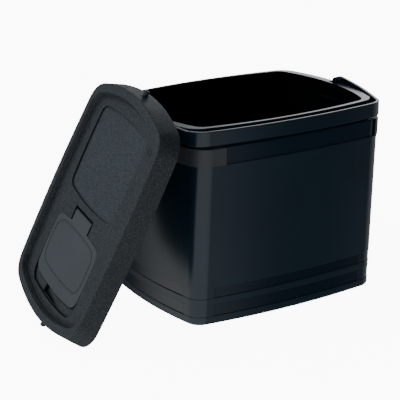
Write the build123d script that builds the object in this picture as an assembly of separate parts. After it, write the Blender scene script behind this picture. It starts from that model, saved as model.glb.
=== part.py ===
from build123d import *
import os

# A lidded kitchen waste bin. The bin stands on the floor, its strap handle lies folded down
# along the front, and its filter lid stands on end beside it, leaning towards the bin.
# Millimetres. +X runs along the long sides, -Y is the front, +Z is up, and the origin is the
# centre of the bin's base. Every plan outline is a barrel: four bowed sides, round corners.

# Bin body
FLOOR = dict(half_x=169.5, half_y=129.1, bow_x=11.3, bow_y=11.4, corner=23)
SHOULDER = dict(half_x=177.4, half_y=139.4, bow_x=20.6, bow_y=9.0, corner=28)
NECK = dict(half_x=176.4, half_y=125.1, bow_x=20.7, bow_y=14.0, corner=30)
MOUTH = dict(half_x=162.6, half_y=119.9, bow_x=20.3, bow_y=14.5, corner=20)
WALL = 2.5
BASE_ROUNDING = 5.0
SHOULDER_Z = 265.6
RIM_Z = 290.6
FOOT_HEIGHT = 2.0
FOOT_WIDTH = 7.0
BAND_BOTTOM_Z = 240.2
BAND_DEPTH = 1.6
PAD_PROUD = 1.1
BAND_X = (-118.0, 146.0)
BAND_HALF_Y = 84.0
GROOVES_Z = ((13.0, 31.5), (41.0, 56.5))
GROOVE_DEPTH = 1.1
CORNER_GROOVE_DEPTH = 0.5
GROOVE_X = (-130.0, 130.0)
GROOVE_HALF_Y = 92.0
RIM_ROUNDING = 0.8
SHOULDER_ROUNDING = 1.2

# Handle and its pivots
PIVOT_Z = 290.0
STRAP = dict(half_x=182.8, half_y=139.8, bow_x=22.0, bow_y=12.0, corner=30)
STRAP_THICKNESS = 4.2
GRIP_BOTTOM_Z = 269.0
GRIP_TOP_Z = 290.0
ARM_START_Y = -112.0
ARM_ROOT_BOTTOM_Z = 283.0
EYE_RADIUS = 8.7
EYE_INNER_X = 174.7
EYE_BORE_END_X = 181.2
POCKET_RADIUS = 9.6
POCKET_INNER_X = 165.5
CUP_WALL = 2.4
EAR_X = (171.4, 174.2)
EAR_RADIUS = 8.2
PIN_RADIUS = 4.0
PIN_RUNNING_GAP = 0.06
PIN_HEAD_RADIUS = 5.6
PIN_HEAD_HEIGHT = 1.6
PIN_END_X = 180.8
STRAP_ROUNDING = 0.9

# Lid, in its own axes: u along its length, v across it, w out of its top face
LID_TOP = dict(half_x=173.5, half_y=122.0, bow_x=24.0, bow_y=6.0, corner=34)
LID_SKIRT = dict(half_x=179.5, half_y=128.0, bow_x=24.0, bow_y=6.0, corner=40)
LID_DEPTH = 29.5
LID_WALL = 2.5
LID_EDGE_ROUNDING = 3.0
TRAY_TOP = dict(half_x=161.0, half_y=111.0, bow_x=22.0, bow_y=5.0, corner=27)
TRAY_FLOOR = dict(half_x=158.0, half_y=107.5, bow_x=21.0, bow_y=5.0, corner=24)
TRAY_DEPTH = 10.0
TRAY_THICKNESS = 3.4
TRAY_LIP_ROUNDING = 1.2
TRAY_FLOOR_ROUNDING = 2.5
PANEL = dict(half_x=69.0, half_y=79.0, bow_x=7.0, bow_y=2.0, corner=14)
PANEL_CENTRE = (69.0, 7.0)
PANEL_DEPTH = 1.2
PANEL_TILT = 0.5
MARK_CENTRE = (123.0, -82.0)
MARK_RADII = (5.0, 3.6)
RIB_HEIGHT = 3.0
RIB_WIDTH = 1.6
SEAL_OUTER = dict(half_x=169.0, half_y=118.2, bow_x=23.0, bow_y=6.0, corner=31)
SEAL_WIDTH = 3.6
SEAL_HEIGHT = 2.4
END_PIN_RADIUS = 4.0
END_PIN_W = -16.0
END_PIN_TIP_U = 185.5
END_PIN_HEAD_RADIUS = 6.5
END_PIN_HEAD_HEIGHT = 1.8

# Filter compartment and hatch, in the lid's axes
SEAT = dict(half_x=58.5, half_y=76.0, bow_x=6.0, bow_y=3.0, corner=18)
SEAT_CENTRE = (-89.0, 4.0)
SEAT_DEPTH = 2.6
SEAT_THICKNESS = 2.2
HATCH = dict(half_x=50.0, half_y=75.2, bow_x=5.5, bow_y=2.6, corner=17)
HATCH_CENTRE = (-81.2, 4.0)
HATCH_THICKNESS = 2.4
TAB_V = 8.0
TAB_HALF_WIDTH = 28.0
TAB_SLOT_HALF_WIDTH = 32.0
TAB_SLOT_END_U = -10.5
HINGE_U = -17.2
HINGE_BARREL_RADIUS = 3.5
HINGE_PIN_RADIUS = 2.0
HINGE_BOSS_LENGTH = 8.0
TROUGH_DEPTH = 9.0
TROUGH_WALL = 2.0
POCKET_INSET = 7.0
POCKET_FLOOR_W = -26.5
COMPARTMENT_WALL = 2.0
SLOT_COUNT = 9
SLOT_PITCH = 13.0
SLOT_WIDTH = 5.0
SLOT_LENGTH = 70.0
SCOOP_V = (-24.0, 32.0)
SCOOP_U = (-145.0, -127.0)
SCOOP_DEPTH = 8.0
PANEL_LINE = dict(half_x=37.0, half_y=67.0, bow_x=4.0, bow_y=3.0, corner=20)
PANEL_LINE_CENTRE = (-76.0, 5.0)
PANEL_LINE_WIDTH = 1.2
PANEL_LINE_HEIGHT = 0.4
CASSETTE_GAP = 0.8
CASSETTE_HEIGHT = 8.0
CASSETTE_WALL = 2.4
CASSETTE_BASE = 1.2
WINDOW_COLUMNS = 4
WINDOW_ROWS = 5

# How the lid stands: leaning over the bin's left end, resting on its bowed lower end
LID_CENTRE = (-283.6, -26.4, 177.8)
LID_LEAN = 23.6
LID_TURN = -4.3
LID_ROLL = -7.5


def barrel(half_x, half_y, bow_x, bow_y, corner, grow=0.0, z=0.0):
    """A plan outline with four outward-bowed sides and rounded corners, as a face at z."""
    side_x = half_x - bow_x + grow
    side_y = half_y - bow_y + grow
    right = ThreePointArc((side_x, -side_y), (half_x + grow, 0), (side_x, side_y))
    top = ThreePointArc((side_x, side_y), (0, half_y + grow), (-side_x, side_y))
    left = ThreePointArc((-side_x, side_y), (-half_x - grow, 0), (-side_x, -side_y))
    bottom = ThreePointArc((-side_x, -side_y), (0, -half_y - grow), (side_x, -side_y))
    outline = make_face([right, top, left, bottom])
    outline = fillet(outline.vertices(), corner + grow)
    return Pos(0, 0, z) * outline


def prism(shape, low, high, grow=0.0):
    """The outline between two heights."""
    return extrude(barrel(**shape, grow=grow, z=low), high - low)


def tapered(low_shape, low, high_shape, high, grow=0.0):
    """The outline changing evenly from one height to another."""
    low_face = barrel(**low_shape, grow=grow, z=low)
    high_face = barrel(**high_shape, grow=grow, z=high)
    return loft([low_face, high_face], ruled=True)


def block(x_range, y_range, z_range):
    """A box between the given limits."""
    (x0, x1), (y0, y1), (z0, z1) = x_range, y_range, z_range
    centre = Pos((x0 + x1) / 2, (y0 + y1) / 2, (z0 + z1) / 2)
    return centre * Box(x1 - x0, y1 - y0, z1 - z0)


def rod_x(radius, x0, x1, y=0.0, z=0.0):
    """A round bar along X."""
    low, high = min(x0, x1), max(x0, x1)
    return Pos((low + high) / 2, y, z) * Rot(0, 90, 0) * Cylinder(radius, high - low)


def rod_y(radius, y0, y1, x, z):
    """A round bar along Y."""
    return Pos(x, (y0 + y1) / 2, z) * Rot(90, 0, 0) * Cylinder(radius, y1 - y0)


def outline_at(z):
    """The body's outline at a height between the floor and the shoulder."""
    share = z / SHOULDER_Z
    return {key: FLOOR[key] + (SHOULDER[key] - FLOOR[key]) * share for key in FLOOR}


def ring_cut(low, high, depth):
    """The skin of the body between two heights, to the given depth."""
    outside = tapered(outline_at(low), low, outline_at(high), high, grow=3.0)
    return outside - tapered(outline_at(low), low, outline_at(high), high, grow=-depth)


def flats(x_range, half_y, low, high):
    """The stretches of the four sides between their corners, as blocks to intersect with."""
    along = block(x_range, (-200, 200), (low, high))
    across = block((-250, 250), (-half_y, half_y), (low, high))
    return along + across


def corner_pads():
    """Four raised pads under the shoulder, wrapped round the corners."""
    low = BAND_BOTTOM_Z
    skin = tapered(outline_at(low), low, outline_at(SHOULDER_Z), SHOULDER_Z, grow=PAD_PROUD)
    return skin - flats(BAND_X, BAND_HALF_Y, low - 1, SHOULDER_Z + 1)


def pivot_cup(side):
    """The half-round cup in the rim that the handle's eye turns in, with the pivot's ear."""
    inner_x = side * (POCKET_INNER_X - WALL)
    cup = rod_x(POCKET_RADIUS + CUP_WALL, inner_x, side * (NECK["half_x"] - 1), z=PIVOT_Z)
    return cup & block((-200, 200), (-20, 20), (PIVOT_Z - 20, RIM_Z))


def pivot_ear(side):
    """The round-topped lug inside the cup, with the hole for the pivot pin."""
    near, far = side * EAR_X[0], side * EAR_X[1]
    lug = rod_x(EAR_RADIUS, near, far, z=PIVOT_Z)
    web_low = PIVOT_Z - POCKET_RADIUS - 1
    lug += block((min(near, far), max(near, far)), (-5, 5), (web_low, PIVOT_Z))
    return lug - rod_x(PIN_RADIUS, near - side, far + side, z=PIVOT_Z)


def bin_body():
    """The moulded bin: tapered walls, grooves, corner pads, shoulder, neck, rim and cups."""
    body = tapered(FLOOR, 0, SHOULDER, SHOULDER_Z)
    body = fillet(body.edges().group_by(Axis.Z)[0], BASE_ROUNDING)
    body += corner_pads()
    band = ring_cut(BAND_BOTTOM_Z, SHOULDER_Z, BAND_DEPTH)
    body -= band & flats(BAND_X, BAND_HALF_Y, BAND_BOTTOM_Z, SHOULDER_Z)
    for low, high in GROOVES_Z:
        body -= ring_cut(low, high, CORNER_GROOVE_DEPTH)
        deep = ring_cut(low, high, GROOVE_DEPTH)
        body -= deep & flats(GROOVE_X, GROOVE_HALF_Y, low, high)
    body = fillet(body.edges().group_by(Axis.Z)[-1], SHOULDER_ROUNDING)
    neck = prism(NECK, SHOULDER_Z - WALL, RIM_Z)
    body += fillet(neck.edges().group_by(Axis.Z)[-1], RIM_ROUNDING)
    cavity = tapered(outline_at(FOOT_HEIGHT + WALL), FOOT_HEIGHT + WALL,
                     outline_at(SHOULDER_Z - WALL), SHOULDER_Z - WALL, grow=-WALL - BAND_DEPTH)
    body -= cavity
    body -= prism(NECK, SHOULDER_Z - WALL - 0.5, RIM_Z - WALL, grow=-WALL)
    body -= prism(MOUTH, RIM_Z - WALL - 1, RIM_Z + 1)
    body -= prism(FLOOR, 0, FOOT_HEIGHT, grow=-BASE_ROUNDING - FOOT_WIDTH)
    for side in (-1, 1):
        body += pivot_cup(side)
        body -= rod_x(POCKET_RADIUS, side * POCKET_INNER_X, side * 195, z=PIVOT_Z)
        body += pivot_ear(side)
    return body


def handle_pin(side):
    """A headed pin pushed through the ear from inside the cup; the handle's eye turns on it."""
    head_start = side * (EAR_X[0] - PIN_HEAD_HEIGHT)
    pin = rod_x(PIN_RADIUS, side * EAR_X[0], side * PIN_END_X, z=PIVOT_Z)
    head = rod_x(PIN_HEAD_RADIUS, head_start, side * EAR_X[0], z=PIVOT_Z)
    head = chamfer(head.edges().sort_by(Axis.X)[0 if side > 0 else -1], 0.6)
    return head + pin


def strap_hoop(low, high):
    """A full hoop of the strap's outline between two heights."""
    return prism(STRAP, low, high) - prism(STRAP, low - 1, high + 1, grow=-STRAP_THICKNESS)


def handle_strap():
    """One flat strap: a grip along the front, and an arm to the pivot at each end."""
    hoop = strap_hoop(GRIP_BOTTOM_Z, GRIP_TOP_Z)
    rims = hoop.edges().group_by(Axis.Z)[0] + hoop.edges().group_by(Axis.Z)[-1]
    grip = fillet(rims, STRAP_ROUNDING)
    grip &= block((-200, 200), (-200, ARM_START_Y), (GRIP_BOTTOM_Z - 1, GRIP_TOP_Z + 1))
    profile = Polyline(
        (ARM_START_Y - 0.5, GRIP_BOTTOM_Z + 1), (-7.0, ARM_ROOT_BOTTOM_Z), (0, ARM_ROOT_BOTTOM_Z),
        (0, PIVOT_Z + EYE_RADIUS), (-4.0, PIVOT_Z + EYE_RADIUS),
        (ARM_START_Y - 0.5, GRIP_TOP_Z - 1), close=True)
    side_view = Plane.YZ * make_face(profile)
    arms = strap_hoop(GRIP_BOTTOM_Z, PIVOT_Z + 15) & extrude(side_view, 220, both=True)
    strap = grip + arms
    for side in (-1, 1):
        outer_x = side * STRAP["half_x"]
        strap += rod_x(EYE_RADIUS, side * EYE_INNER_X, outer_x, z=PIVOT_Z)
        bore = PIN_RADIUS + PIN_RUNNING_GAP
        strap -= rod_x(bore, side * (EYE_INNER_X - 1), side * EYE_BORE_END_X, z=PIVOT_Z)
    return strap


def hatch_block(low, high, grow=0.0):
    """The hatch's outline between two heights."""
    return Pos(*HATCH_CENTRE, low) * extrude(barrel(**HATCH, grow=grow), high - low)


def seat_block(low, high, grow=0.0):
    """The outline of the sunk seat round the hatch, between two heights."""
    return Pos(*SEAT_CENTRE, low) * extrude(barrel(**SEAT, grow=grow), high - low)


def tab_slot(grow=0.0):
    """The trough for the hinge tab, sunk below the tray's floor."""
    u_range = (HATCH_CENTRE[0] + HATCH["half_x"] - 6 - grow, TAB_SLOT_END_U + grow)
    v_range = (TAB_V - TAB_SLOT_HALF_WIDTH - grow, TAB_V + TAB_SLOT_HALF_WIDTH + grow)
    return block(u_range, v_range, (-TRAY_DEPTH - TROUGH_DEPTH - grow, -TRAY_DEPTH + 1 - grow))


def finger_scoop(grow=0.0):
    """The ramped hollow that lets a fingertip under the hatch's lip, deepest at one end."""
    (v0, v1), (u0, u1) = SCOOP_V, SCOOP_U
    top, low = -TRAY_DEPTH + 1 - 2 * grow, -TRAY_DEPTH - SCOOP_DEPTH - grow
    shallow = -TRAY_DEPTH - SEAT_DEPTH - grow
    side = Polyline((v0 - grow, top), (v0 - grow, shallow), (v1 - 8, low), (v1 + grow, low),
                    (v1 + grow, top), close=True)
    wedge = extrude(Plane.YZ * make_face(side), u1 - u0 + 2 * grow)
    return Pos(u0 - grow, 0, 0) * wedge


def hinge_bosses():
    """Two blocks under the tray that hold the ends of the hinge pin."""
    bosses = []
    for side in (-1, 1):
        near = TAB_V + side * TAB_SLOT_HALF_WIDTH
        far = near + side * HINGE_BOSS_LENGTH
        v_range = (min(near, far), max(near, far))
        w_range = (-TRAY_DEPTH - TROUGH_DEPTH, -TRAY_DEPTH - 1)
        bosses.append(block((HINGE_U - 5, HINGE_U + 5), v_range, w_range))
    return bosses


def hinge_w():
    """Height of the hinge's axis, which sets the barrel just under the tray's floor."""
    return -TRAY_DEPTH - 0.2 - HINGE_BARREL_RADIUS


def vent_slots(low, high):
    """A row of parallel slots through the compartment's floor."""
    slots = []
    for index in range(SLOT_COUNT):
        v = HATCH_CENTRE[1] + (index - (SLOT_COUNT - 1) / 2) * SLOT_PITCH
        slot = extrude(SlotOverall(SLOT_LENGTH, SLOT_WIDTH), high - low)
        slots.append(Pos(HATCH_CENTRE[0], v, low) * slot)
    return slots


def lid_ribs():
    """Stiffening ribs under the tray, beside the filter compartment."""
    top, low = -TRAY_DEPTH - TRAY_THICKNESS + 0.5, -TRAY_DEPTH - TRAY_THICKNESS - RIB_HEIGHT
    ribs = [block((0, 146), (v - RIB_WIDTH / 2, v + RIB_WIDTH / 2), (low, top)) for v in (-60, 0, 60)]
    for u in (24, 72, 120):
        ribs.append(block((u - RIB_WIDTH / 2, u + RIB_WIDTH / 2), (-98, 98), (low, top)))
    return ribs


def lid_shell():
    """The moulded lid: flared skirt, sunk tray, shallow panel and the filter compartment."""
    shell = tapered(LID_SKIRT, -LID_DEPTH, LID_TOP, 0)
    shell = fillet(shell.edges().group_by(Axis.Z)[-1], LID_EDGE_ROUNDING)
    shell -= tapered(LID_SKIRT, -LID_DEPTH - 0.01, LID_TOP, -LID_WALL, grow=-LID_WALL)
    floor_w = -TRAY_DEPTH
    shell += tapered(TRAY_FLOOR, floor_w - TRAY_THICKNESS, TRAY_TOP, -1.0, grow=LID_WALL)
    hollow = tapered(TRAY_FLOOR, floor_w, TRAY_TOP, 0.0)
    shell -= fillet(hollow.edges().group_by(Axis.Z)[0], TRAY_FLOOR_ROUNDING)
    lip = [edge for edge in shell.edges().filter_by_position(Axis.Z, -0.01, 0.01)
           if edge.bounding_box().max.Y < TRAY_TOP["half_y"] + 0.5
           and edge.bounding_box().min.Y > -TRAY_TOP["half_y"] - 0.5
           and abs(edge.center().X) < TRAY_TOP["half_x"] + 0.5]
    shell = fillet(lip, TRAY_LIP_ROUNDING)
    panel = Rot(-PANEL_TILT, 0, 0) * extrude(barrel(**PANEL), 5.0)
    shell -= Pos(*PANEL_CENTRE, floor_w - PANEL_DEPTH) * panel
    box_low = POCKET_FLOOR_W - COMPARTMENT_WALL
    shell += hatch_block(box_low, floor_w - 1, grow=COMPARTMENT_WALL - POCKET_INSET)
    shell += seat_block(floor_w - SEAT_DEPTH - SEAT_THICKNESS, floor_w - 1, grow=SEAT_THICKNESS)
    for piece in hinge_bosses() + lid_ribs() + [finger_scoop(COMPARTMENT_WALL), tab_slot(TROUGH_WALL)]:
        shell += piece
    shell -= seat_block(floor_w - SEAT_DEPTH, floor_w + 1)
    shell -= hatch_block(POCKET_FLOOR_W, floor_w, grow=-POCKET_INSET)
    shell -= tab_slot()
    shell -= finger_scoop()
    for slot in vent_slots(box_low - 1, POCKET_FLOOR_W + 1):
        shell -= slot
    bore_v = TAB_SLOT_HALF_WIDTH + HINGE_BOSS_LENGTH - 1
    shell -= rod_y(HINGE_PIN_RADIUS, TAB_V - bore_v, TAB_V + bore_v, HINGE_U, hinge_w())
    shell -= rod_x(END_PIN_RADIUS, -200, -160, z=END_PIN_W)
    shell -= rod_x(END_PIN_RADIUS, 160, 200, z=END_PIN_W)
    ring = Cylinder(MARK_RADII[0], 1.0) - Cylinder(MARK_RADII[1], 1.2)
    shell += Pos(*MARK_CENTRE, floor_w - 0.1) * ring
    return shell


def lid_end_pin(side):
    """A round pin through the middle of the lid's end, with its head inside the skirt."""
    slope = (LID_SKIRT["half_x"] - LID_TOP["half_x"]) / (LID_DEPTH - LID_WALL)
    skin_u = LID_TOP["half_x"] - LID_WALL + slope * (-END_PIN_W - LID_WALL)
    head_u = skin_u - END_PIN_HEAD_RADIUS * slope - 0.3
    pin = rod_x(END_PIN_RADIUS, side * head_u, side * END_PIN_TIP_U, z=END_PIN_W)
    pin = chamfer(pin.edges().sort_by(Axis.X)[-1 if side > 0 else 0], 0.8)
    head = rod_x(END_PIN_HEAD_RADIUS, side * (head_u - END_PIN_HEAD_HEIGHT), side * head_u, z=END_PIN_W)
    return pin + head


def filter_hatch():
    """The flap over the filter, with a wide tab that turns on the hinge pin."""
    top = -TRAY_DEPTH - 0.1
    low = top - HATCH_THICKNESS
    hatch = hatch_block(low, top)
    v_range = (TAB_V - TAB_HALF_WIDTH, TAB_V + TAB_HALF_WIDTH)
    hatch += block((HATCH_CENTRE[0] + HATCH["half_x"] - 8, HINGE_U), v_range, (low, top))
    hatch += rod_y(HINGE_BARREL_RADIUS, *v_range, HINGE_U, hinge_w())
    bore = HINGE_PIN_RADIUS + PIN_RUNNING_GAP
    hatch -= rod_y(bore, v_range[0] - 1, v_range[1] + 1, HINGE_U, hinge_w())
    line = barrel(**PANEL_LINE) - barrel(**PANEL_LINE, grow=-PANEL_LINE_WIDTH)
    hatch += Pos(*PANEL_LINE_CENTRE, top - 0.2) * extrude(line, PANEL_LINE_HEIGHT + 0.2)
    return hatch


def hatch_hinge_pin():
    """The plain steel pin through the bosses and the hatch's barrel."""
    half = TAB_SLOT_HALF_WIDTH + HINGE_BOSS_LENGTH - 1
    return rod_y(HINGE_PIN_RADIUS, TAB_V - half, TAB_V + half, HINGE_U, hinge_w())


def cassette_outline(grow, low, high):
    """The cassette's outline between two heights."""
    return hatch_block(low, high, grow=-POCKET_INSET - CASSETTE_GAP + grow)


def filter_cassette():
    """The open-topped tray that carries the charcoal pad, with windows in its base."""
    low = POCKET_FLOOR_W
    tray = cassette_outline(0, low, low + CASSETTE_HEIGHT)
    tray -= cassette_outline(-CASSETTE_WALL, low + CASSETTE_BASE, low + CASSETTE_HEIGHT + 1)
    window_u = 2 * (HATCH["half_x"] - 18) / WINDOW_COLUMNS
    window_v = 2 * (HATCH["half_y"] - 18) / WINDOW_ROWS
    for column in range(WINDOW_COLUMNS):
        for row in range(WINDOW_ROWS):
            u = HATCH_CENTRE[0] + (column - (WINDOW_COLUMNS - 1) / 2) * window_u
            v = HATCH_CENTRE[1] + (row - (WINDOW_ROWS - 1) / 2) * window_v
            window = Box(window_u - 4, window_v - 4, 2 * CASSETTE_BASE + 1)
            tray -= Pos(u, v, low) * window
    return tray


def charcoal_pad():
    """The slab of charcoal foam that fills the cassette."""
    low = POCKET_FLOOR_W + CASSETTE_BASE
    return cassette_outline(-CASSETTE_WALL, low, low + CASSETTE_HEIGHT - CASSETTE_BASE - 0.8)


def lid_seal():
    """The flat rubber ring under the lid's border, which meets the bin's rim."""
    high = -LID_WALL
    ring = prism(SEAL_OUTER, high - SEAL_HEIGHT, high)
    return ring - prism(SEAL_OUTER, high - SEAL_HEIGHT - 1, high + 1, grow=-SEAL_WIDTH)


def lid_pose(shell):
    """Turns the lid from its own axes to where it stands, with its lowest point at the floor."""
    turned = Rot(0, 0, LID_TURN) * Rot(0, LID_LEAN - 90, 0) * Rot(0, 0, LID_ROLL)
    lowest = (Pos(*LID_CENTRE) * turned * shell).bounding_box().min.Z
    return Pos(0, 0, -lowest) * Pos(*LID_CENTRE) * turned


def hinge_report(pose):
    """Prints the hatch hinge's point and direction in the bin's axes, in metres."""
    near = (pose * Pos(HINGE_U, TAB_V, hinge_w())).position
    far = (pose * Pos(HINGE_U, TAB_V + 1000, hinge_w())).position
    print("hatch hinge at", [round(value / 1000, 6) for value in near])
    print("hatch hinge axis", [round(value / 1000, 6) for value in (far - near)])


def main():
    """Builds every node and writes one STEP file for each."""
    shell = lid_shell()
    pose = lid_pose(shell)
    nodes = {
        "bin_body": bin_body(),
        "handle_strap": handle_strap(),
        "handle_pin_left": handle_pin(-1),
        "handle_pin_right": handle_pin(1),
        "lid_shell": pose * shell,
        "lid_end_pin_upper": pose * lid_end_pin(1),
        "lid_end_pin_lower": pose * lid_end_pin(-1),
        "lid_seal": pose * lid_seal(),
        "filter_hatch": pose * filter_hatch(),
        "hatch_hinge_pin": pose * hatch_hinge_pin(),
        "filter_cassette": pose * filter_cassette(),
        "charcoal_pad": pose * charcoal_pad(),
    }
    hinge_report(pose)
    os.makedirs("parts", exist_ok=True)
    for name, solid in nodes.items():
        export_step(solid, f"parts/{name}.step")


main()
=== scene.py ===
import math

import bmesh
import bpy
from mathutils import Matrix, Vector, noise


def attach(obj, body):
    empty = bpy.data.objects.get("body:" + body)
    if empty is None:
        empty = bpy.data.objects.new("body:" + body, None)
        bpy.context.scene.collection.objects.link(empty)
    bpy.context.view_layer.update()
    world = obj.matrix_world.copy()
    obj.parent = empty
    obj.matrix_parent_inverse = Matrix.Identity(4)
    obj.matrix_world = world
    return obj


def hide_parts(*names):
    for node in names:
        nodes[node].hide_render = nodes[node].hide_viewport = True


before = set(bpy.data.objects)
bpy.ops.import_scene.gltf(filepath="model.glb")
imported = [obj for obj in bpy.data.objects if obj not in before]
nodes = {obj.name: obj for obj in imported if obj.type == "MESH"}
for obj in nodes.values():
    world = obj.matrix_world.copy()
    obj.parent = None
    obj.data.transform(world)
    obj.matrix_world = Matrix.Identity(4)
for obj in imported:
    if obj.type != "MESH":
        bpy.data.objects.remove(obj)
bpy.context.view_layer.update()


# The bin: one polypropylene moulding, black with a blue cast, injected in one shot. Its walls are
# satin. The band under the shoulder and the two lines round the foot are sunk and polished, and are
# darkened with painted shade. The corner pads are a rougher satin painted paler as a highlight, and
# the inside is painted shade: dark and with little reflection.
BIN_BLACK = (0.0046, 0.0190, 0.0330)
# The pads' paler grey is a painted highlight. The recess black is painted shade.
PAD_HIGHLIGHT_GREY = (0.040, 0.045, 0.050)
RECESS_SHADE_BLACK = (0.0014, 0.0150, 0.0290)
BAND_HEIGHTS = (0.2402, 0.2656)
BAND_ALONG_FRONT = (-0.118, 0.146)
BAND_ALONG_END = (-0.084, 0.084)
FOOT_LINE_HEIGHTS = ((0.013, 0.0315), (0.041, 0.0565))
FOOT_ALONG_FRONT = (-0.130, 0.130)
FOOT_ALONG_END = (-0.092, 0.092)
FOOT_LINE_AT_CORNERS = 0.4
SCUFFED_HEIGHTS = (-0.010, 0.004)
SCUFF_FADE = 0.004
SCUFF_SHARE = 0.3
INSIDE_SHADE_SHARE = 0.1
PLASTIC_IOR = 1.49
EDGE_RADIUS = 0.0007


def node_tools(tree):
    """Two helpers for a node tree: one adds a node, one joins two sockets."""
    def add(kind, **settings):
        node = tree.nodes.new(kind)
        for key, value in settings.items():
            if hasattr(node, key):
                setattr(node, key, value)
            else:
                node.inputs[key.replace("_", " ")].default_value = value
        return node

    def join(source, target):
        tree.links.new(source, target)

    return add, join


def new_material(name):
    """A node material with its shader and the two helpers for its tree."""
    material = bpy.data.materials.new(name)
    material.use_nodes = True
    shader = material.node_tree.nodes["Principled BSDF"]
    return material, shader, *node_tools(material.node_tree)


def times(colour, factor):
    """A colour made darker or paler by a factor."""
    return tuple(channel * factor for channel in colour)


def ramp(add, join, source, stops):
    """A colour ramp from (place, grey or colour) stops."""
    node = add("ShaderNodeValToRGB")
    join(source, node.inputs["Fac"])
    for element, (place, value) in zip(node.color_ramp.elements, stops):
        colour = value if isinstance(value, tuple) else (value, value, value)
        element.position = place
        element.color = (*colour, 1.0)
    return node.outputs["Color"]


def sums(add, join, operation, *terms):
    """One arithmetic node. Each of its terms is a socket or a number."""
    node = add("ShaderNodeMath", operation=operation)
    for term, socket in zip(terms, node.inputs):
        if isinstance(term, (int, float)):
            socket.default_value = term
        else:
            join(term, socket)
    return node.outputs["Value"]


def soft_step(add, join, value, low, high, strength=1.0):
    """Nothing at the low value and the full strength at the high one, which may be the lesser."""
    fade = add("ShaderNodeMapRange", interpolation_type="SMOOTHSTEP")
    join(value, fade.inputs["Value"])
    fade.inputs["From Min"].default_value = low
    fade.inputs["From Max"].default_value = high
    fade.inputs["To Max"].default_value = strength
    return fade.outputs["Result"]


def within(add, join, along, span, soft=0.0004):
    """1 between two distances along an axis and 0 outside them, with a soft edge."""
    low, high = span
    half = (high - low) / 2
    off = sums(add, join, "SUBTRACT", along, low + half)
    far = sums(add, join, "ABSOLUTE", off)
    return soft_step(add, join, far, half + soft, half - soft)


def within_either(add, join, first, first_span, second, second_span):
    """1 inside the span of one axis or of the other."""
    one = within(add, join, first, first_span)
    other = within(add, join, second, second_span)
    return sums(add, join, "MAXIMUM", one, other)


def blend_colours(add, join, share, low, high):
    """A mix of two colours, each a socket or three numbers."""
    node = add("ShaderNodeMix", data_type="RGBA")
    join(share, node.inputs["Factor"])
    for colour, socket in ((low, node.inputs["A"]), (high, node.inputs["B"])):
        if isinstance(colour, tuple):
            socket.default_value = (*colour, 1.0)
        else:
            join(colour, socket)
    return node.outputs["Result"]


def clouding(add, join, place):
    """The broad, faint patches of a moulded wall."""
    cloud = add("ShaderNodeTexNoise", Scale=7.0, Detail=3.0, Roughness=0.55)
    join(place, cloud.inputs["Vector"])
    return cloud.outputs["Fac"]


def wiped_streaks(add, join, place):
    """Upright streaks, as a cloth leaves them."""
    stretched = add("ShaderNodeMapping")
    stretched.inputs["Scale"].default_value = (60.0, 60.0, 6.0)
    join(place, stretched.inputs["Vector"])
    streak = add("ShaderNodeTexNoise", Scale=1.0, Detail=4.0, Roughness=0.6)
    join(stretched.outputs["Vector"], streak.inputs["Vector"])
    return streak.outputs["Fac"]


def fine_ripple(add, join, place):
    """The skin's fine unevenness."""
    ripple = add("ShaderNodeTexNoise", Scale=900.0, Detail=2.0)
    join(place, ripple.inputs["Vector"])
    return ripple.outputs["Fac"]


def facing_out(add, join, place, turned):
    """1 on surfaces that face away from the upright axis and on level ones, 0 on inside walls."""
    sideways = add("ShaderNodeVectorMath", operation="MULTIPLY")
    join(place, sideways.inputs[0])
    sideways.inputs[1].default_value = (1.0, 1.0, 0.0)
    outward = add("ShaderNodeVectorMath", operation="DOT_PRODUCT")
    join(sideways.outputs["Vector"], outward.inputs[0])
    join(turned, outward.inputs[1])
    slightly_inward = -0.03
    return sums(add, join, "GREATER_THAN", outward.outputs["Value"], slightly_inward)


def relief(add, join, shader, height, strength, depth, edge_radius=None):
    """Bumps a surface by a height and, given a radius, rounds how its edges catch light."""
    bump = add("ShaderNodeBump", Strength=strength, Distance=depth)
    join(height, bump.inputs["Height"])
    if edge_radius:
        rounding = add("ShaderNodeBevel", samples=6)
        rounding.inputs["Radius"].default_value = edge_radius
        join(rounding.outputs["Normal"], bump.inputs["Normal"])
    join(bump.outputs["Normal"], shader.inputs["Normal"])


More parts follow.
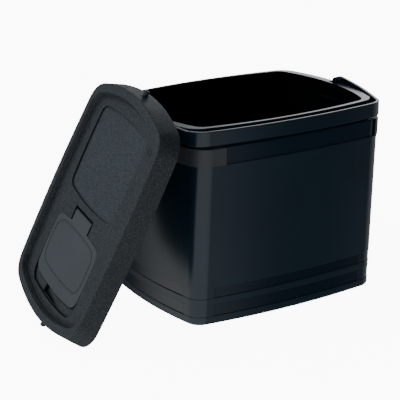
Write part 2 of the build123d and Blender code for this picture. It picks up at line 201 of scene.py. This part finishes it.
def finish_bin():
    """The bin's plastic: satin walls, polished recesses and rougher corner pads, with painted shade
    in the recesses and inside and a painted highlight on the pads.
    """
    material, shader, add, join = new_material("bin_plastic")
    coordinates = add("ShaderNodeTexCoord")
    place = coordinates.outputs["Object"]
    axes = add("ShaderNodeSeparateXYZ")
    join(place, axes.inputs["Vector"])
    across, deep, height = axes.outputs
    cloud = clouding(add, join, place)
    streak = wiped_streaks(add, join, place)
    outside = facing_out(add, join, place, coordinates.outputs["Normal"])

    band = within(add, join, height, BAND_HEIGHTS)
    flats = within_either(add, join, across, BAND_ALONG_FRONT, deep, BAND_ALONG_END)
    corners = sums(add, join, "SUBTRACT", outside, flats)
    pads = sums(add, join, "MAXIMUM", sums(add, join, "MULTIPLY", band, corners), 0.0)
    sunk_band = sums(add, join, "MULTIPLY", band, flats)

    lower, upper = (within(add, join, height, span) for span in FOOT_LINE_HEIGHTS)
    lines = sums(add, join, "MAXIMUM", lower, upper)
    foot_flats = within_either(add, join, across, FOOT_ALONG_FRONT, deep, FOOT_ALONG_END)
    line_share = sums(add, join, "MULTIPLY_ADD", foot_flats, 1.0 - FOOT_LINE_AT_CORNERS,
                      FOOT_LINE_AT_CORNERS)
    sunk = sums(add, join, "MAXIMUM", sunk_band, sums(add, join, "MULTIPLY", lines, line_share))

    clouded = ramp(add, join, cloud, [(0.3, BIN_BLACK), (0.75, times(BIN_BLACK, 1.3))])
    near_floor = within(add, join, height, SCUFFED_HEIGHTS, SCUFF_FADE)
    scuffed = sums(add, join, "MULTIPLY", near_floor, streak)
    scuffs = sums(add, join, "MULTIPLY", scuffed, SCUFF_SHARE)
    rubbed = blend_colours(add, join, scuffs, clouded, times(BIN_BLACK, 2.0))
    # painted shade: the sunk band and the foot lines are painted darker than the walls.
    walls = blend_colours(add, join, sunk, rubbed, RECESS_SHADE_BLACK)
    # painted highlight: the corner pads in the band are painted paler than the walls round them.
    padded_walls = blend_colours(add, join, pads, walls, PAD_HIGHLIGHT_GREY)
    # painted shade: the inside walls are painted near black.
    inside = times(BIN_BLACK, INSIDE_SHADE_SHARE)
    join(blend_colours(add, join, outside, inside, padded_walls), shader.inputs["Base Color"])

    # painted shade inside: the inside walls reflect very little.
    join(sums(add, join, "MULTIPLY_ADD", outside, 0.45, 0.05),
         shader.inputs["Specular IOR Level"])
    satin = sums(add, join, "MULTIPLY_ADD", streak, 0.04, 0.22)
    duller_pads = sums(add, join, "MULTIPLY_ADD", pads, 0.25, satin)
    join(sums(add, join, "MULTIPLY_ADD", sunk, -0.12, duller_pads), shader.inputs["Roughness"])
    relief(add, join, shader, fine_ripple(add, join, place), 0.12, 0.0002, EDGE_RADIUS)
    shader.inputs["IOR"].default_value = PLASTIC_IOR
    return material


def dress(name, material):
    """Gives a moulded node its one material."""
    mesh = nodes[name].data
    mesh.materials.clear()
    mesh.materials.append(material)


dress("bin_body", finish_bin())


# The strap handle and its two pivot pins: the strap is bent round the front in the bin's plastic
# and snaps over the pins, which are pushed into the cups at the bin's ends. Both are satin, and
# the strap's inner faces are darkened with painted shade, in colour and reflection.
HANDLE_BLACK = (0.0035, 0.0165, 0.0300)
HANDLE_ROUGHNESS = 0.2
STRAP_INNER_SHADE_SHARE = 0.2


def finish_plain_plastic(name, colour, roughness, inner_shade_share):
    """Plain satin plastic, with painted shade on its inner faces: their colour and reflection cut
    to a share of the outer ones.
    """
    material, shader, add, join = new_material(name)
    coordinates = add("ShaderNodeTexCoord")
    place = coordinates.outputs["Object"]
    outside = facing_out(add, join, place, coordinates.outputs["Normal"])
    # painted shade: inner faces keep only this share of the colour and reflection.
    share = sums(add, join, "MULTIPLY_ADD", outside, 1.0 - inner_shade_share, inner_shade_share)
    clouded = ramp(add, join, clouding(add, join, place),
                   [(0.3, colour), (0.75, times(colour, 1.3))])
    join(blend_colours(add, join, share, (0.0, 0.0, 0.0), clouded), shader.inputs["Base Color"])
    join(sums(add, join, "MULTIPLY", share, 0.5), shader.inputs["Specular IOR Level"])
    streak = wiped_streaks(add, join, place)
    join(sums(add, join, "MULTIPLY_ADD", streak, 0.04, roughness), shader.inputs["Roughness"])
    relief(add, join, shader, fine_ripple(add, join, place), 0.12, 0.0002, EDGE_RADIUS)
    shader.inputs["IOR"].default_value = PLASTIC_IOR
    return material


handle_plastic = finish_plain_plastic(
    "handle_plastic", HANDLE_BLACK, HANDLE_ROUGHNESS, STRAP_INNER_SHADE_SHARE)
for name in ("handle_strap", "handle_pin_left", "handle_pin_right"):
    dress(name, handle_plastic)


# The lid: one grey-black moulding with an even spark texture all over, like fine leather, and its
# two end pins, which are part of the same shot. The sunk upper panel is a little paler, and the
# creases are darkened with painted shade.
LID_GREY = (0.033, 0.041, 0.050)
LID_MIDDLE = Vector((-0.2836, -0.0264, 0.1774))
LID_LEAN = math.radians(23.6)
LID_TURN = math.radians(-4.3)
LID_ROLL = math.radians(-7.5)
PANEL_LONG_WAY = (0.002, 0.136)
PANEL_CROSS_WAY = (-0.068, 0.084)
PANEL_DEPTHS = (-0.020, -0.0104)
PANEL_PALER = 1.35
CREASE_SHADE_REACH = 0.006
CREASE_SHADE_SHARE = 0.15
LID_EDGE_RADIUS = 0.0008


def on_top_panel(add, join, place):
    """1 on the sunk panel in the upper half of the lid, found from the lid's own axes."""
    stood_up = Matrix.Rotation(LID_LEAN - math.pi / 2, 3, "Y")
    leaning = (Matrix.Rotation(LID_TURN, 3, "Z") @ stood_up
               @ Matrix.Rotation(LID_ROLL, 3, "Z"))
    mask = None
    for axis, span, soft in zip(leaning.transposed(),
                                (PANEL_LONG_WAY, PANEL_CROSS_WAY, PANEL_DEPTHS),
                                (0.005, 0.008, 0.0001)):
        dot = add("ShaderNodeVectorMath", operation="DOT_PRODUCT")
        join(place, dot.inputs[0])
        dot.inputs[1].default_value = axis
        start = LID_MIDDLE.dot(axis)
        low, high = span
        share = within(add, join, dot.outputs["Value"], (start + low, start + high), soft)
        mask = share if mask is None else sums(add, join, "MULTIPLY", mask, share)
    return mask


def spark_textured(name, colour, speckle, grain_depth, roughness, sheen):
    """Textured plastic: a fine pebbled grain with paler tips, with painted shade where surfaces
    meet.
    """
    material, shader, add, join = new_material(name)
    place = add("ShaderNodeTexCoord").outputs["Object"]
    grain = add("ShaderNodeTexNoise", Scale=620.0, Detail=3.0, Roughness=0.6)
    join(place, grain.inputs["Vector"])
    pebble = add("ShaderNodeTexVoronoi", Scale=480.0)
    join(place, pebble.inputs["Vector"])
    height = sums(add, join, "MULTIPLY_ADD", pebble.outputs["Distance"], -0.6,
                  grain.outputs["Fac"])

    hollows = times(colour, 1.0 - speckle)
    tips = times(colour, 1.0 + speckle)
    plain = ramp(add, join, height, [(0.1, hollows), (0.45, tips)])
    lighter = ramp(add, join, height,
                   [(0.1, times(hollows, PANEL_PALER)), (0.45, times(tips, PANEL_PALER))])
    speckled = blend_colours(add, join, on_top_panel(add, join, place), plain, lighter)

    patchy = ramp(add, join, clouding(add, join, place), [(0.3, 0.85), (0.7, 1.0)])
    # painted shade: ambient occlusion darkens the colour and cuts the reflection in creases.
    corner = add("ShaderNodeAmbientOcclusion", samples=6, Distance=CREASE_SHADE_REACH)
    shut_in = sums(add, join, "POWER", corner.outputs["AO"], 3.0)
    open_air = sums(add, join, "MULTIPLY", shut_in, patchy)
    join(blend_colours(add, join, open_air, times(colour, CREASE_SHADE_SHARE), speckled),
         shader.inputs["Base Color"])
    join(sums(add, join, "MULTIPLY", open_air, sheen), shader.inputs["Specular IOR Level"])
    join(sums(add, join, "MULTIPLY_ADD", grain.outputs["Fac"], 0.2, roughness - 0.1),
         shader.inputs["Roughness"])
    relief(add, join, shader, height, 0.8, grain_depth, LID_EDGE_RADIUS)
    return material


lid_plastic = spark_textured("lid_plastic", LID_GREY, speckle=0.50, grain_depth=0.0004,
                             roughness=0.55, sheen=0.35)
for name in ("lid_shell", "lid_end_pin_upper", "lid_end_pin_lower"):
    dress(name, lid_plastic)


# The filter hatch: a thin flap of the lid's plastic on a hinge tab, moulded in a tool with a much
# finer spark texture, so it is smoother and a little paler than the lid round it.
HATCH_GREY = (0.060, 0.070, 0.080)
dress("filter_hatch", spark_textured("hatch_plastic", HATCH_GREY, speckle=0.12,
                                     grain_depth=0.00005, roughness=0.42, sheen=0.4))


# The filter cassette: an open tray with windows in its base, moulded in plain satin plastic. It
# drops into the compartment behind the hatch and holds the foam.
CASSETTE_GREY = (0.012, 0.014, 0.016)
dress("filter_cassette",
      finish_plain_plastic("cassette_plastic", CASSETTE_GREY, 0.35, inner_shade_share=1.0))


# The hatch's hinge pin: a cut length of drawn steel wire, pushed through the hinge tab and the
# two bosses beside it. It shows fine drawing lines and a thin brown bloom.
BRIGHT_STEEL = (0.46, 0.46, 0.45)
BLOOMED_STEEL = (0.30, 0.25, 0.20)


def finish_weathered(name, clean, worn, base_roughness, pit_strength, pit_depth):
    """A bare surface that clouds from a clean colour to a worn one. Returns its shader too."""
    material, shader, add, join = new_material(name)
    place = add("ShaderNodeTexCoord").outputs["Object"]
    join(ramp(add, join, clouding(add, join, place), [(0.35, clean), (0.8, worn)]),
         shader.inputs["Base Color"])
    streak = wiped_streaks(add, join, place)
    join(sums(add, join, "MULTIPLY_ADD", streak, 0.25, base_roughness),
         shader.inputs["Roughness"])
    relief(add, join, shader, fine_ripple(add, join, place), pit_strength, pit_depth)
    return material, shader


pin_steel, pin_shader = finish_weathered(
    "pin_steel", BRIGHT_STEEL, BLOOMED_STEEL, 0.18, pit_strength=0.3, pit_depth=0.0001)
pin_shader.inputs["Metallic"].default_value = 1.0
dress("hatch_hinge_pin", pin_steel)


# The seal: a flat ring of soft black rubber, moulded and then pressed under the lid's border. It
# is dull, with a pale dusty bloom where it has been wiped.
CLEAN_RUBBER = (0.010, 0.010, 0.011)
BLOOMED_RUBBER = (0.024, 0.024, 0.025)
seal_rubber, _ = finish_weathered(
    "seal_rubber", CLEAN_RUBBER, BLOOMED_RUBBER, 0.55, pit_strength=0.4, pit_depth=0.0002)
dress("lid_seal", seal_rubber)


# The filter: a slab of open-cell foam loaded with charcoal, die-cut to the cassette's outline. It
# lies loose on the cassette's base, its edges are soft from the cut, and its faces are lumpy.
FOAM_PIT = (0.004, 0.004, 0.004)
FOAM_WALL = (0.030, 0.030, 0.031)
FOAM_DUST = (0.022, 0.022, 0.023)
FOAM_CELL = 0.0016
FOAM_SLACK = 0.0006
FOAM_LUMP_HEIGHT = 0.00035
FOAM_LUMP_WIDTH = 0.007
WELD_DISTANCE = 0.00001


def charcoal_foam():
    """Black open-cell foam: pits of two sizes with paler walls between them."""
    material, shader, add, join = new_material("charcoal_foam")
    place = add("ShaderNodeTexCoord").outputs["Object"]
    cells = add("ShaderNodeTexVoronoi", Scale=420.0)
    join(place, cells.inputs["Vector"])
    pores = add("ShaderNodeTexVoronoi", Scale=1100.0)
    join(place, pores.inputs["Vector"])
    cloud = add("ShaderNodeTexNoise", Scale=40.0, Detail=3.0)
    join(place, cloud.inputs["Vector"])
    depth = sums(add, join, "MULTIPLY_ADD", pores.outputs["Distance"], 0.5,
                 cells.outputs["Distance"])
    walls = ramp(add, join, depth, [(0.2, FOAM_PIT), (0.9, FOAM_WALL)])
    dusty = ramp(add, join, cloud.outputs["Fac"], [(0.35, 0.0), (0.75, 0.5)])
    join(blend_colours(add, join, dusty, walls, FOAM_DUST), shader.inputs["Base Color"])
    join(sums(add, join, "MULTIPLY_ADD", cloud.outputs["Fac"], 0.15, 0.82),
         shader.inputs["Roughness"])
    relief(add, join, shader, depth, 1.0, 0.0012)
    shader.inputs["Specular IOR Level"].default_value = 0.2
    return material


def foam_slab():
    """The slab, from the cassette's outline: cut softly round its edges and lumpy on both faces."""
    mesh = bmesh.new()
    mesh.from_mesh(nodes["charcoal_pad"].data)
    bmesh.ops.remove_doubles(mesh, verts=mesh.verts, dist=WELD_DISTANCE)
    bmesh.ops.recalc_face_normals(mesh, faces=mesh.faces)
    data = bpy.data.meshes.new("filter_foam")
    mesh.to_mesh(data)
    mesh.free()
    slab = bpy.data.objects.new("filter_foam", data)
    bpy.context.scene.collection.objects.link(slab)
    remesh = slab.modifiers.new("cells", "REMESH")
    remesh.mode = "VOXEL"
    remesh.voxel_size = FOAM_CELL
    soften = slab.modifiers.new("soften", "SMOOTH")
    soften.factor = 0.5
    soften.iterations = 4
    depsgraph = bpy.context.evaluated_depsgraph_get()
    shaped = bpy.data.meshes.new_from_object(slab.evaluated_get(depsgraph))
    slab.modifiers.clear()
    slab.data = shaped
    shaped.name = "filter_foam_mesh"
    for vertex in shaped.vertices:
        wave = noise.noise(vertex.co / FOAM_LUMP_WIDTH)
        vertex.co -= vertex.normal * (FOAM_SLACK + FOAM_LUMP_HEIGHT * wave)
    shaped.polygons.foreach_set("use_smooth", [True] * len(shaped.polygons))
    shaped.materials.clear()
    shaped.materials.append(charcoal_foam())
    return slab


filter_foam = foam_slab()
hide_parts("charcoal_pad")
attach(filter_foam, "lid")


# The studio: a white floor that glows evenly, a camera at standing height, and a dome with five
# soft patches of light. The gloss reflects them: a wide one at the left front, a key light high
# at the left, a small bright one behind the rim, a weak one overhead and one at the right.
FLOOR_SIZE = 24.0
FLOOR_GLOW = 10.0
LENS = 138.26
CAMERA_PLACE = (-1.2421, -1.8196, 0.8619)
CAMERA_DIP = 18.37
CAMERA_TURN = -32.676
DOME_GLOOM = 0.07
DOME_WHITE = (0.95, 0.98, 1.0, 1.0)
LEFT_FRONT = ((-0.90, -0.45, -0.20), 95, 62, 0.98)
LEFT_FRONT_HEIGHTS = (0.12, -0.08)
OTHER_PATCHES = (
    ((-0.80, 0.15, 0.60), 45, 15, 1.7),
    ((0.68, 0.68, 0.26), 14, 10, 2.1),
    ((-0.3, 0.5, 0.8), 60, 30, 0.4),
    ((0.95, 0.25, -0.3), 54, 28, 0.48))

bpy.ops.mesh.primitive_plane_add(size=FLOOR_SIZE, location=(0, 0, 0))
floor = bpy.context.object
floor.name = "floor"
floor_paint, floor_shader, *_ = new_material("floor_paint")
floor_shader.inputs["Base Color"].default_value = (0.9, 0.9, 0.9, 1.0)
floor_shader.inputs["Roughness"].default_value = 0.9
floor_shader.inputs["Specular IOR Level"].default_value = 0.0
floor_shader.inputs["Emission Color"].default_value = (1.0, 1.0, 1.0, 1.0)
floor_shader.inputs["Emission Strength"].default_value = FLOOR_GLOW
floor.data.materials.append(floor_paint)
floor.visible_glossy = False
floor.visible_diffuse = False

camera_data = bpy.data.cameras.new("camera")
camera_data.sensor_width = 36.0
camera_data.lens = LENS
camera = bpy.data.objects.new("camera", camera_data)
camera.location = CAMERA_PLACE
camera.rotation_euler = (math.radians(90 - CAMERA_DIP), 0.0, math.radians(CAMERA_TURN))
bpy.context.scene.collection.objects.link(camera)
bpy.context.scene.camera = camera

world = bpy.data.worlds.new("studio")
bpy.context.scene.world = world
world.use_nodes = True
add, join = node_tools(world.node_tree)
direction = add("ShaderNodeTexCoord").outputs["Generated"]


def glow(facing, edge, full, strength):
    """A round patch of the dome. It fades from a full angle to an edge angle about its middle."""
    dot = add("ShaderNodeVectorMath", operation="DOT_PRODUCT")
    join(direction, dot.inputs[0])
    dot.inputs[1].default_value = Vector(facing).normalized()
    low = math.cos(math.radians(edge))
    high = math.cos(math.radians(full))
    return soft_step(add, join, dot.outputs["Value"], low, high, strength)


tilt = add("ShaderNodeSeparateXYZ")
join(direction, tilt.inputs["Vector"])
below_eye = soft_step(add, join, tilt.outputs["Z"], *LEFT_FRONT_HEIGHTS)
light = sums(add, join, "MULTIPLY", glow(*LEFT_FRONT), below_eye)
for patch in OTHER_PATCHES:
    light = sums(add, join, "ADD", light, glow(*patch))
background = world.node_tree.nodes["Background"]
join(sums(add, join, "ADD", light, DOME_GLOOM), background.inputs["Strength"])
background.inputs["Color"].default_value = DOME_WHITE

bpy.context.view_layer.update()
